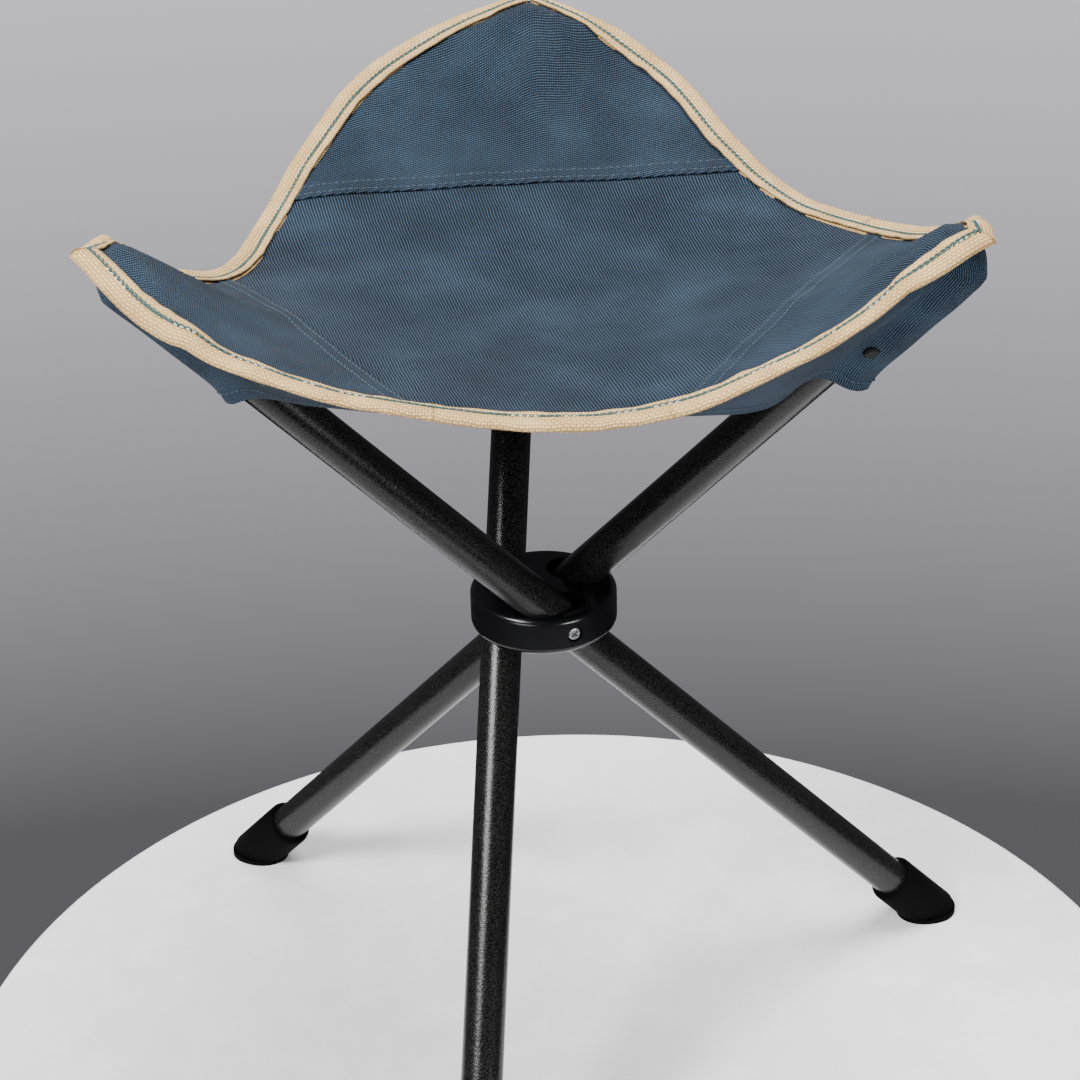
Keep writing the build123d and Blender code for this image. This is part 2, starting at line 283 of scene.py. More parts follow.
DASH = ((-0.5, 0.4, -0.5), (-0.36, 0.9, -0.1), (0.0, 1.0, 0.1), (0.36, 0.9, -0.1), (0.5, 0.4, -0.5))
DASH_SIDES = 6
DASH_LENGTH = 2.3
HEM_THREAD = 0.5
POCKET_THREAD = 0.6
THREAD_RISE = 0.12


def thread_mesh(name, dashes, materials):
    """Stitches: each dash is its centre, direction, the cloth's normal, length, width and material index."""
    vertices, faces, spots, kinds = [], [], [], []
    angles = np.arange(DASH_SIDES) * 2 * pi / DASH_SIDES
    for centre, along, up, length, width, kind in dashes:
        start = len(vertices)
        side = np.cross(along, up)
        side /= np.linalg.norm(side)
        for share, swell, dip in DASH:
            ring = centre + along * share * length + up * dip * width
            for angle in angles:
                vertices.append(ring + (side * cos(angle) + up * sin(angle)) * swell * width / 2)
                spots.append((share * length + start, angle * width))
        new = grid_faces(len(DASH), DASH_SIDES, start, closed=True)
        new += [[start + k for k in range(DASH_SIDES)]]
        new += [[start + (len(DASH) - 1) * DASH_SIDES + k for k in reversed(range(DASH_SIDES))]]
        faces += new
        kinds += [kind] * len(new)
    return add_mesh(name, vertices, faces, materials, spots, kinds)


# Materials


def add_node(tree, kind, inputs=None, out=0, **settings):
    """A shader node with its inputs set or linked; gives back one of its outputs."""
    node = tree.nodes.new("ShaderNode" + kind)
    for key, value in settings.items():
        setattr(node, key, value)
    for key, value in (inputs or {}).items():
        if isinstance(value, bpy.types.NodeSocket):
            tree.links.new(value, node.inputs[key])
        else:
            node.inputs[key].default_value = value
    return node.outputs[out] if len(node.outputs) else node


def calc(tree, operation, first, second=0.0, third=0.0):
    """A Math node's result."""
    return add_node(tree, "Math", {0: first, 1: second, 2: third}, operation=operation)


def spread(tree, value, low, high):
    """Value from 0 to 1 spread between low and high."""
    return calc(tree, "MULTIPLY_ADD", value, high - low, low)


def speckle(tree, vector, scale, detail=2.0, rough=0.5):
    """Noise from 0 to 1, scale in cells per metre."""
    inputs = {"Vector": vector, "Scale": scale, "Detail": detail, "Roughness": rough}
    return add_node(tree, "TexNoise", inputs)


def blend_colour(tree, share, first, second):
    """A colour between two, by share."""
    return add_node(tree, "Mix", {0: share, 6: first, 7: second}, out=2, data_type="RGBA")


def wave(tree, place, period, shift=0.0):
    """A wave from 0 to 1 along a place in metres."""
    phase = calc(tree, "MULTIPLY_ADD", place, 2 * pi / period, shift)
    return calc(tree, "MULTIPLY_ADD", calc(tree, "SINE", phase), 0.5, 0.5)


def finish_material(tree, colour, roughness, height, depth, strength, **constants):
    """The shader: colour, roughness and bump from nodes, and the rest set on its own sockets."""
    bump = add_node(tree, "Bump", {"Height": height, "Distance": depth, "Strength": strength})
    shader = add_node(tree, "BsdfPrincipled", {"Base Color": colour, "Roughness": roughness, "Normal": bump})
    for key, value in constants.items():
        shader.node.inputs[key.replace("_", " ").title().replace("Ior", "IOR")].default_value = value
    add_node(tree, "OutputMaterial", {"Surface": shader})


def new_tree(name):
    """A material and its empty node tree."""
    material = bpy.data.materials.new(name)
    material.use_nodes = True
    material.node_tree.nodes.clear()
    return material, material.node_tree


def flat_places(tree):
    """A piece's own flat coordinates, in metres, as a vector and its two parts."""
    vector = add_node(tree, "UVMap", uv_map="Weave")
    parts = add_node(tree, "SeparateXYZ", {0: vector}).node.outputs
    return vector, parts[0], parts[1]


# Lengths in metres, scales in cells per metre
TWILL_WANDER = 0.0007
TWILL_STAGGER = 2.1  # how far round its wave each rib's yarn starts after the last
TWILL_DEPTH = 0.00035
TAPE_WANDER = 0.00035
TAPE_LINE, TAPE_RIB, TAPE_BUMP = 0.0016, 0.00125, 0.0025
TAPE_DEPTH = 0.0007
TWIST = 0.0007
TWIST_DEPTH = 0.0001


def cloth_material(name, turn, period, dark, light):
    """Twill: slanting ribs of twisted yarn, with painted light on the rib tops and painted shade in the valleys
    between them, and with slubs and soft mottling.
    """
    material, tree = new_tree(name)
    vector, x, y = flat_places(tree)
    wander = spread(tree, speckle(tree, vector, 90.0), -TWILL_WANDER, TWILL_WANDER)
    across = calc(tree, "MULTIPLY_ADD", x, cos(radians(turn)), wander)
    across = calc(tree, "MULTIPLY_ADD", y, sin(radians(turn)), across)
    along = calc(tree, "MULTIPLY_ADD", y, cos(radians(turn)), calc(tree, "MULTIPLY", x, -sin(radians(turn))))
    rib = wave(tree, across, period)
    row = calc(tree, "MULTIPLY", calc(tree, "FLOOR", calc(tree, "DIVIDE", across, period)), TWILL_STAGGER)
    yarn = wave(tree, along, period * 0.75, row)
    yarns = calc(tree, "POWER", calc(tree, "MULTIPLY", rib, spread(tree, yarn, 0.55, 1.0)), 3.0)
    slub = speckle(tree, vector, 1900.0, 3.0, 0.7)
    mottle = speckle(tree, vector, 22.0, 4.0, 0.55)
    height = calc(tree, "MULTIPLY_ADD", slub, 0.35, yarns)
    # The colour follows the ribs' relief: painted shade in the valleys and painted light on the tops; the slubs
    # and the mottling are the yarn's own tone.
    share = calc(tree, "MULTIPLY_ADD", calc(tree, "SUBTRACT", slub, 0.5), 0.9, yarns)
    share = calc(tree, "MULTIPLY_ADD", calc(tree, "SUBTRACT", mottle, 0.5), 0.5, share)
    share.node.use_clamp = True
    colour = blend_colour(tree, share, (*dark, 1), (*light, 1))
    finish_material(tree, colour, spread(tree, slub, 0.62, 0.86), height, TWILL_DEPTH, 0.8, sheen_weight=0.04,
                    sheen_roughness=0.5, specular_ior_level=0.1)
    return material


def tape_material(name):
    """Woven binding: cross ribs broken into small bumps, with painted shade darkening the hollows."""
    material, tree = new_tree(name)
    vector, along, across = flat_places(tree)
    wander = spread(tree, speckle(tree, vector, 160.0), -TAPE_WANDER, TAPE_WANDER)
    place = calc(tree, "ADD", along, wander)
    column = calc(tree, "MULTIPLY", calc(tree, "FLOOR", calc(tree, "DIVIDE", across, TAPE_LINE)), pi)
    rib = wave(tree, place, TAPE_RIB)
    bump = wave(tree, place, TAPE_BUMP, column)
    line = wave(tree, across, TAPE_LINE, -pi / 2)
    weave = calc(tree, "MULTIPLY", spread(tree, line, 0.3, 1.0), spread(tree, bump, 0.35, 1.0))
    weave = calc(tree, "MULTIPLY", weave, spread(tree, rib, 0.45, 1.0))
    fuzz = speckle(tree, vector, 2600.0, 3.0, 0.7)
    worn = speckle(tree, vector, 60.0, 4.0, 0.6)
    height = calc(tree, "MULTIPLY_ADD", fuzz, 0.25, weave)
    # The colour follows the weave's relief: painted shade in the hollows; the fuzz and the worn patches are the
    # tape's own tone.
    share = calc(tree, "MULTIPLY_ADD", calc(tree, "SUBTRACT", fuzz, 0.4), 0.5, weave)
    share = calc(tree, "MULTIPLY_ADD", calc(tree, "SUBTRACT", worn, 0.35), 0.6, share)
    share.node.use_clamp = True
    colour = blend_colour(tree, share, (*TAPE_HOLLOW_SHADE, 1), (*TAPE_LIGHT, 1))
    finish_material(tree, colour, spread(tree, fuzz, 0.7, 0.95), height, TAPE_DEPTH, 1.0, sheen_weight=0.03,
                    sheen_roughness=0.6, specular_ior_level=0.12)
    return material


def thread_material(name, dark, light):
    """Twisted sewing thread with a slight shine, and painted shade in the grooves of its twist."""
    material, tree = new_tree(name)
    vector, along, across = flat_places(tree)
    twist = wave(tree, calc(tree, "ADD", along, across), TWIST)
    fuzz = speckle(tree, vector, 3000.0, 2.0, 0.6)
    # The colour darkens in the grooves of the twist: painted shade; the fuzz is the thread's own tone.
    share = calc(tree, "MULTIPLY_ADD", fuzz, 0.5, calc(tree, "MULTIPLY", twist, 0.6))
    colour = blend_colour(tree, share, (*dark, 1), (*light, 1))
    finish_material(tree, colour, spread(tree, fuzz, 0.45, 0.7), twist, TWIST_DEPTH, 0.6, sheen_weight=0.1)
    return material


def solid_material(name, dark, light, grain, depth, rough, **constants):
    """Painted, moulded or plated surface: fine grain, a slower unevenness, and wear in patches."""
    material, tree = new_tree(name)
    vector = add_node(tree, "TexCoord", out=3)
    fine = speckle(tree, vector, grain, 3.0, 0.65)
    cell = speckle(tree, vector, grain * 0.6, 1.0)
    slow = speckle(tree, vector, grain / 40, 4.0, 0.6)
    height = calc(tree, "MULTIPLY_ADD", cell, 0.5, fine)
    share = calc(tree, "MULTIPLY_ADD", calc(tree, "SUBTRACT", fine, 0.5), 3.2, spread(tree, slow, 0.1, 0.4))
    share.node.use_clamp = True
    colour = blend_colour(tree, share, (*dark, 1), (*light, 1))
    gloss = spread(tree, calc(tree, "MULTIPLY_ADD", slow, 0.6, calc(tree, "MULTIPLY", fine, 0.4)), *rough)
    finish_material(tree, colour, gloss, height, depth, 0.8, **constants)
    return material


# The twill's dark colour is painted shade in the valleys between the ribs, its light colour painted light on
# their tops.
SLATE_VALLEY_SHADE, SLATE_LIGHT = (0.0008, 0.0028, 0.0060), (0.066, 0.116, 0.180)
# The tape's dark colour is painted shade in the weave's hollows.
TAPE_HOLLOW_SHADE, TAPE_LIGHT = (0.17, 0.075, 0.018), (0.90, 0.64, 0.30)
SEAT_TWILL = cloth_material("seat twill", 13.0, 0.00132, SLATE_VALLEY_SHADE, SLATE_LIGHT)
CORNER_TWILLS = {
    "a": cloth_material("corner twill a", 112.0, 0.00122, SLATE_VALLEY_SHADE, SLATE_LIGHT),
    "b": cloth_material("corner twill b", 38.0, 0.00120, SLATE_VALLEY_SHADE, SLATE_LIGHT),
    "c": cloth_material("corner twill c", 103.0, 0.00120, SLATE_VALLEY_SHADE, SLATE_LIGHT),
}
# The pockets wear the seat's twill painted lighter: painted light for the light that reaches the pockets under
# the seat.
POCKET_TWILL_PAINTED_LIGHTER = cloth_material("pocket twill painted lighter", 8.0, 0.00115, (0.0025, 0.0075, 0.015), (0.125, 0.20, 0.30))
TAPE = tape_material("binding tape")
GREEN = thread_material("green thread", (0.003, 0.024, 0.024), (0.012, 0.085, 0.08))
WHITE = thread_material("white thread", (0.5, 0.48, 0.42), (0.9, 0.88, 0.82))
BLUE = thread_material("blue thread", (0.014, 0.026, 0.038), (0.045, 0.074, 0.105))
PAINT = solid_material("hammered black paint", (0.0008, 0.0008, 0.0008), (0.024, 0.023, 0.022),
                       grain=1300.0, depth=0.00012, rough=(0.19, 0.28), specular_ior_level=0.26)
HUB_PLASTIC = solid_material("glossy black nylon", (0.0015, 0.0015, 0.002), (0.005, 0.005, 0.0065),
                             grain=1100.0, depth=0.00003, rough=(0.14, 0.3), specular_ior_level=0.35)
RUBBER = solid_material("matt black rubber", (0.0008, 0.0008, 0.0008), (0.004, 0.0038, 0.0038),
                        grain=1700.0, depth=0.00008, rough=(0.6, 0.8), specular_ior_level=0.03)
PLUG_PLASTIC = solid_material("black end plug", (0.003, 0.003, 0.0035), (0.012, 0.012, 0.013),
                              grain=1300.0, depth=0.00005, rough=(0.35, 0.6), specular_ior_level=0.3)
ZINC = solid_material("zinc plate", (0.3, 0.31, 0.33), (0.72, 0.73, 0.76),
                      grain=1900.0, depth=0.00003, rough=(0.2, 0.42), metallic=1.0)
BLACK_RIVET = solid_material("blackened rivet", (0.002, 0.002, 0.002), (0.014, 0.014, 0.015),
                             grain=1800.0, depth=0.00004, rough=(0.4, 0.6), specular_ior_level=0.12)

NODE_MATERIALS = {"hub": HUB_PLASTIC, "pivot_screw": ZINC, "leg_tube": PAINT, "leg_foot": RUBBER,
                  "leg_end_plug": PLUG_PLASTIC, "pocket_rivet": BLACK_RIVET}
for node_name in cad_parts:
    for prefix, material in NODE_MATERIALS.items():
        if node_name.startswith(prefix):
            for material_slot in bpy.data.objects[node_name].material_slots:
                material_slot.material = material


# Seat cloth

EDGE_SAMPLES = 160
PAST_MIDDLE = 0.1  # where a corner's share of its two edges begins


def edge_offsets(corner):
    """How far a corner's cloth runs to each side, against the distance out along the corner."""
    names = list(EDGES)
    before = next(n for n in names if EDGES[n]["ends"][1] == corner)
    after = next(n for n in names if EDGES[n]["ends"][0] == corner)
    tip, side = unit(CORNERS[corner]), unit(CORNERS[corner] + 90)
    table = []
    for name, sign in ((before, 1), (after, -1)):
        line = edge_line(name, np.linspace(sign * PAST_MIDDLE, sign, EDGE_SAMPLES))
        table.append((line @ tip, abs(line @ side)))
    return table


def inset_reach(corner, radius, inset):
    """The two sideways limits of a corner's cloth, kept in from the edges."""
    (r1, w1), (r2, w2) = edge_offsets(corner)
    low = -np.interp(radius + inset * INSET_OUT, r1, w1) + inset * INSET_SIDE
    high = np.interp(radius + inset * INSET_OUT, r2, w2) - inset * INSET_SIDE
    return np.minimum(low, -LEAST_REACH), np.maximum(high, LEAST_REACH)


def bend_at_corner(piece):
    """The piece's placement is baked into its mesh."""
    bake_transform(piece)


DISC_COLUMNS = 252
DISC_ROWS = 46
DISC_CORE = 0.02
HEM_SIDE = 0.3  # the hems bound only the part of the outline that faces their corner
FAR_OFF = 999.0
azimuths = np.linspace(0, 360, DISC_COLUMNS, endpoint=False)
rim_turn = np.degrees(np.arctan2(RIM[:, 1], RIM[:, 0])) % 360
order = np.argsort(rim_turn)
rim_reach = np.hypot(RIM[:, 0], RIM[:, 1])[order]
outline = np.interp(azimuths, rim_turn[order], rim_reach, period=360) - EDGE_IN
for corner, azimuth in CORNERS.items():
    facing = np.cos(np.radians(azimuths - azimuth))
    hem = np.where(facing > HEM_SIDE, (HEMS[corner] + LAP) / np.maximum(facing, HEM_SIDE), FAR_OFF)
    outline = np.minimum(outline, hem)
shares = np.linspace(DISC_CORE, 1, DISC_ROWS)[:, None]
disc_x = shares * outline * np.cos(np.radians(azimuths))
disc_y = shares * outline * np.sin(np.radians(azimuths))
disc, _ = on_cloth(disc_x, disc_y)
seat_cloth = sheet_mesh("seat_cloth", disc, disc[..., :2], CLOTH_T, SEAT_TWILL, closed=True)
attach(seat_cloth, "seat_a")
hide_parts("seat_panel")

HEM_FOLD = ((0.0, -0.5), (0.25, 0.5), (0.9, 0.95), (1.8, 0.75), (2.8, 1.0), (4.5, 1.0),
            (6.4, 0.95), (8.0, 0.7), (8.9, 0.55), (9.8, 0.15), (11.5, 0.0))
FOLD_PLACES, FOLD_HEIGHTS = np.transpose(HEM_FOLD)
FOLD_T = 0.5
HEM_ROWS = (2.6, 8.0)
PLY_COLUMNS = 44
PLY_ROWS = 30
PLY_FROM = 14.0  # past the hem, where the evenly spaced rows begin
PLY_END = 204.5
PLY_UNDER = 0.3
FOLD_SPARE = 0.6
PUCKER_H = 0.05
PUCKER_PITCH = STITCH * 3.5
PUCKER_PEAK = 3.0
PUCKER_WIDE = 5.0
SEAM_END = 5.0


def ply_top(corner, radius, across):
    """Points on top of a corner ply, radii and sideways places in millimetres."""
    tip, side = unit(CORNERS[corner]), unit(CORNERS[corner] + 90)
    x, y = radius * tip[0] + across * side[0], radius * tip[1] + across * side[1]
    past = radius - HEMS[corner]
    fold = np.interp(past, FOLD_PLACES, FOLD_HEIGHTS)
    pucker = PUCKER_H * np.cos(across * 2 * pi / PUCKER_PITCH)
    pucker *= np.exp(-(((past - PUCKER_PEAK) / PUCKER_WIDE) ** 2))
    return on_cloth(x, y, PLY_LIFT + fold * FOLD_T + pucker)


for corner in CORNERS:
    hem_r = HEMS[corner]
    radii = np.concatenate([hem_r + FOLD_PLACES, np.linspace(hem_r + PLY_FROM, PLY_END, PLY_ROWS)])[:, None]
    low, high = inset_reach(corner, radii, EDGE_IN)
    across = low + (high - low) * np.linspace(0, 1, PLY_COLUMNS)
    radii = np.broadcast_to(radii, across.shape)
    ply, _ = ply_top(corner, radii, across)
    thick = np.interp(radii - hem_r, FOLD_PLACES, FOLD_SPARE + FOLD_HEIGHTS) * CLOTH_T + PLY_UNDER
    corner_cloth = sheet_mesh(f"corner_cloth_{corner}", ply, ply[..., :2], thick, CORNER_TWILLS[corner])
    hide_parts(f"corner_patch_{corner}")
    bend_at_corner(corner_cloth)

    dashes = []
    for past in HEM_ROWS:
        low, high = inset_reach(corner, np.array([hem_r + past]), EDGE_IN + SEAM_END)
        places = np.arange(low[0], high[0], STITCH)
        rows = np.full(len(places), hem_r + past)
        points, normals = ply_top(corner, rows, places)
        directions = np.gradient(points, axis=0)
        directions /= np.linalg.norm(directions, axis=1, keepdims=True)
        dashes += [(p + n * THREAD_RISE, d, n, DASH_LENGTH, HEM_THREAD, 0)
                   for p, d, n in zip(points, directions, normals)]
    hem_stitch = thread_mesh(f"hem_stitch_{corner}", dashes, [BLUE])
    bend_at_corner(hem_stitch)

# Pockets below the corners, each hanging from the edges and looped under its leg's tube
LEG_MID = {c: np.array(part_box(f"pivot_screw_{c}")).mean(0) / MM - HUB_AXIS for c in CORNERS}
PIVOT_R = 18.9
LEG_TILT = radians(42)
LOOP_R = 10.8
LOOP_TURNS = np.radians(np.arange(-54, 55, 18))
TUBE_TOP = 287.0
POCKET_MOUTHS = {"a": 124.0, "b": 117.0, "c": 104.0}
POCKET_SLACK = {"a": 1.5, "b": 7.0, "c": 3.0}
WALL_SAG = {"a": -1.5, "b": 5.0, "c": 3.0}
POCKET_COLUMNS = 66
POCKET_ROWS = 24
MOUTH_ROWS = (0, 0.8, 2, 3.5, 5, 6.5, 9)
POCKET_FROM = 13.0
POCKET_END = 205.0
ROW_LENGTH = 1.3  # cloth along the pocket for each millimetre out from the hub axis
MOUTH_SEAM = 5.0
SEAM_START = 8.0
MOUTH_FLARE = 2.0
FLARE_RUN = 6.0
CLOSE_RUN = 16.0
CLOSE_OVER = 6.0
CLOSE_SHARE = 0.8
SLACK_FROM, SLACK_RUN = 42.0, 60.0  # degrees round the tube over which the slack comes in
SAG_RUN = 25.0
SAG_BASE = 1.0
WALL_DROP = 1.7
SIDE_OUT = 1.5
FLAP_PITCH = 24.0
FLAP_RUN = 40.0


def pocket_rows(corner, radii, columns):
    """Inner face of a pocket: rows of points round it from edge to edge, square to the leg."""
    tip, side = unit(CORNERS[corner]), unit(CORNERS[corner] + 90)
    screw_azimuth = np.degrees(np.arctan2(LEG_MID[corner][1], LEG_MID[corner][0]))
    pivot = PIVOT_R * unit(screw_azimuth) + np.array([0, 0, LEG_MID[corner][2]])
    leg = unit(screw_azimuth - 90) * sin(LEG_TILT) + np.array([0, 0, cos(LEG_TILT)])
    over = np.cross(leg, unit(screw_azimuth))
    lows, highs = inset_reach(corner, np.array(radii), EDGE_IN - SIDE_OUT)
    rows = []
    for radius, low, high in zip(radii, lows, highs):
        above = tip * radius + [0, 0, cloth_height([tip[0] * radius], [tip[1] * radius])[0]]
        up_leg = (above - pivot) @ leg
        close = np.clip((up_leg - TUBE_TOP) / CLOSE_RUN, 0, 1)
        middle = pivot + leg * min(up_leg, TUBE_TOP + CLOSE_RUN / 2) + over * CLOSE_OVER * close
        flare = 1 + MOUTH_FLARE / LOOP_R * np.exp((radii[0] - radius) / FLARE_RUN)
        size = LOOP_R * (1 - CLOSE_SHARE * close**2) * flare
        slack_share = np.clip((np.degrees(LOOP_TURNS) + SLACK_FROM) / SLACK_RUN, 0, 1)
        hang = POCKET_SLACK[corner] * slack_share * (1 - close)
        loop = [middle + (size + h) * (unit(screw_azimuth) * sin(t) - over * cos(t))
                for t, h in zip(LOOP_TURNS, hang)]
        sag = WALL_SAG[corner] * np.exp((radii[0] - radius) / SAG_RUN) + SAG_BASE
        walls = []
        for reach, near in ((low, loop[0]), (high, loop[-1])):
            place = tip * radius + side * reach
            place[2] = cloth_height([place[0]], [place[1]])[0] - WALL_DROP
            walls.append((place, (place + near) / 2 - over * sag * (1 - close)))
        points = np.array([walls[0][0], walls[0][1]] + loop + [walls[1][1], walls[1][0]])
        reach = np.concatenate([[0], np.cumsum(np.linalg.norm(np.diff(points, axis=0), axis=1))])
        at = np.linspace(0, reach[-1], columns)
        row = np.stack([through(reach, points[:, k], at) for k in range(3)], -1)
        slack = wobble(at, radius / FLAP_RUN + CORNERS[corner], FLAP_PITCH)
        slack *= np.sin(np.linspace(0, pi, columns))
        rows.append(row - over * slack[:, None])
    return np.array(rows)


for corner in CORNERS:
    mouth = POCKET_MOUTHS[corner]
    even_radii = np.linspace(mouth + POCKET_FROM, POCKET_END, POCKET_ROWS)
    radii = np.concatenate([mouth + np.array(MOUTH_ROWS), even_radii])
    grid = pocket_rows(corner, radii, POCKET_COLUMNS)
    steps = np.linalg.norm(np.diff(grid, axis=1), axis=-1)
    around = np.concatenate([np.zeros((len(radii), 1)), np.cumsum(steps, axis=1)], axis=1)
    around -= around[:, -1:] / 2
    spots = np.stack([around, np.broadcast_to(radii[:, None] * ROW_LENGTH, around.shape)], -1)
    pocket = sheet_mesh(f"pocket_cloth_{corner}", grid, spots, CLOTH_T, POCKET_TWILL_PAINTED_LIGHTER)
    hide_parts(f"pocket_{corner}")
    bend_at_corner(pocket)

    near_seam = mouth + np.array([0, MOUTH_SEAM - 0.5, MOUTH_SEAM + 0.5])
    seam_rows = pocket_rows(corner, near_seam, POCKET_COLUMNS * 4)[1:]
    line = seam_rows.mean(0)
    gone = np.concatenate([[0], np.cumsum(np.linalg.norm(np.diff(line, axis=0), axis=1))])
    at = np.arange(SEAM_START, gone[-1] - SEAM_START, STITCH)
    centres = np.stack([np.interp(at, gone, line[:, k]) for k in range(3)], -1)
    ahead = np.stack([np.interp(at + 1, gone, line[:, k]) for k in range(3)], -1) - centres
    ahead /= np.linalg.norm(ahead, axis=1, keepdims=True)
    outwards = np.stack([np.interp(at, gone, (seam_rows[1] - seam_rows[0])[:, k]) for k in range(3)], -1)
    normals = np.cross(ahead, outwards)
    normals /= np.linalg.norm(normals, axis=1, keepdims=True)
    dashes = [(c + n * (CLOTH_T + THREAD_RISE), a, n, DASH_LENGTH, POCKET_THREAD, 0)
              for c, a, n in zip(centres, ahead, normals)]
    pocket_stitch = thread_mesh(f"pocket_stitch_{corner}", dashes, [BLUE])
    bend_at_corner(pocket_stitch)


# Tapes folded over the seat's edges, sewn with a green chain stitch that shows white loops

TAPE_OUTER = ((-11.6, 0.9), (-9.8, 1.3), (-8.2, 1.2), (-7.2, 0.9), (-6.1, 1.35), (-4.2, 1.85), (-2.2, 1.95),
              (-0.6, 1.45), (0.3, 0.6), (0.6, -0.3), (0.2, -1.2), (-0.9, -1.85), (-3.0, -2.0), (-5.6, -1.6),
              (-7.2, -1.2), (-8.8, -1.4), (-11.6, -1.4))
TAPE_INNER = ((-11.6, -0.7), (-7.2, -0.5), (-3.0, -1.1), (-0.9, -0.85), (-0.5, -0.2), (-1.0, 0.6),
              (-3.4, 0.95), (-6.2, 0.5), (-7.2, 0.2), (-11.6, 0.25))
ROLLS = {
    "front": (26, 42, 16, 16, 18, 12, 6, 12, 30),
    "right": (24, -2, -10, -6, 2, 6, 6, 4, 6),
    "left": (6, 4, 2, -4, -10, -16, -18, -10, 16),
}
FRILLS = {"front": 1.5, "right": 0.7, "left": 0.7}
CURL = 1.1
TIP_SHARE = 0.9
TAPE_STEP = 2.0
NEAR_IN, FAR_IN = 2.5, 11.5  # in from the edge, where the cloth's slope under a tape is measured
STEEPEST = 0.9
SLOPE_SPAN = 9
NOISE_APART = 9.0
CALM_ENDS = 12
SWELL, SWELL_PITCH = 0.16, 11.0
WANDER, WANDER_PITCH = 0.4, 24.0
FRILL_PITCH, CURL_PITCH = 9.0, 10.0
CORNER_LIFT = 0.8
LIFT_PLACES = (0.12, 0.28)
SEAM_RISE = 1.0
GREEN_SIDE, GREEN_TURN, GREEN_LENGTH, GREEN_WIDE = 0.42, 0.25, 3.5, 0.85
LOOP_SIDE, LOOP_LEAN, LOOP_RISE, LOOP_LENGTH, LOOP_WIDE = 1.15, 0.28, 0.42, 1.7, 0.55
LOOP_PITCH, LOOSE_FROM = 14, 0.05


def tape_frames(name, at):
    """Points along a seat edge with the run, the way out over the cloth's slope, and the way up."""
    line = edge_line(name, at)
    run = np.gradient(line, axis=0)
    run /= np.linalg.norm(run, axis=1, keepdims=True)
    for corner, sign in zip(EDGES[name]["ends"], (-1, 1)):
        share = np.clip((sign * at - TIP_SHARE) / (1 - TIP_SHARE), 0, 1)[:, None]
        run = run * (1 - share) + unit(CORNERS[corner] + 90) * share
    run /= np.linalg.norm(run, axis=1, keepdims=True)
    out = np.cross(run, [0, 0, 1])
    out /= np.linalg.norm(out, axis=1, keepdims=True)
    near, far = line - out * NEAR_IN, line - out * FAR_IN
    rise = cloth_height(near[:, 0], near[:, 1]) - cloth_height(far[:, 0], far[:, 1])
    slope = np.clip(np.arctan2(rise, FAR_IN - NEAR_IN), -STEEPEST, STEEPEST)
    kernel = np.ones(SLOPE_SPAN) / SLOPE_SPAN
    slope = np.convolve(np.pad(slope, SLOPE_SPAN // 2, mode="edge"), kernel, mode="valid")
    line[:, 2] = cloth_height(near[:, 0], near[:, 1]) + NEAR_IN * np.sin(slope)
    out = out * np.cos(slope)[:, None] + np.array([0, 0, 1]) * np.sin(slope)[:, None]
    out -= run * (out * run).sum(1)[:, None]
    out /= np.linalg.norm(out, axis=1, keepdims=True)
    return line, run, out, np.cross(out, run)


def rolled(points, roll, swell):
    """A section's points with the part outside the seam turned down by roll."""
    turned = []
    for u, v in points:
        past = max(u - TAPE_SEAM, 0.0)
        base = min(u, TAPE_SEAM)
        turned.append((base + past * cos(roll) + v * swell * sin(roll) * (past > 0),
                       -past * sin(roll) + v * swell * (cos(roll) if past > 0 else 1.0)))
    return np.array(turned)


def tape_rows(name, at, line, out, up, gone):
    """Closed sections along an edge's tape, their places on the flat tape, and the line of its seam."""
    rolls = np.radians(through(KNOTS, ROLLS[name], at))
    seed = list(EDGES).index(name) * NOISE_APART
    calm = np.clip((1 - abs(at)) * CALM_ENDS, 0, 1)
    swells = 1 + SWELL * calm * wobble(gone, seed + 1, SWELL_PITCH)
    lift = TAPE_RISE + CORNER_LIFT * np.interp(abs(at), LIFT_PLACES, (0, 1))
    line = line + up * (WANDER * calm * wobble(gone, seed + 4, WANDER_PITCH))[:, None]
    frill = calm * wobble(gone, seed + 2, FRILL_PITCH) * FRILLS[name]
    curl = calm * np.maximum(wobble(gone, seed + 3, CURL_PITCH), 0) * CURL
    rows, spots = [], []
    for i in range(len(at)):
        loop = np.concatenate([rolled(face, rolls[i], swells[i]) for face in (TAPE_OUTER, TAPE_INNER)])
        inner_edge = np.concatenate([[1], [0.4], np.zeros(len(loop) - 3), [1]])
        loop[:, 0] += frill[i] * inner_edge
        loop[:, 1] += curl[i] * inner_edge + lift[i]
        rows.append(line[i] + out[i] * loop[:, :1] + up[i] * loop[:, 1:])
        width = np.concatenate([[0], np.cumsum(np.linalg.norm(np.diff(loop, axis=0), axis=1))])
        spots.append(np.stack([np.full(len(loop), gone[i]), width], -1))
    seam_line = line + out * TAPE_SEAM + up * (SEAM_RISE + lift)[:, None]
    return np.array(rows), np.array(spots), seam_line


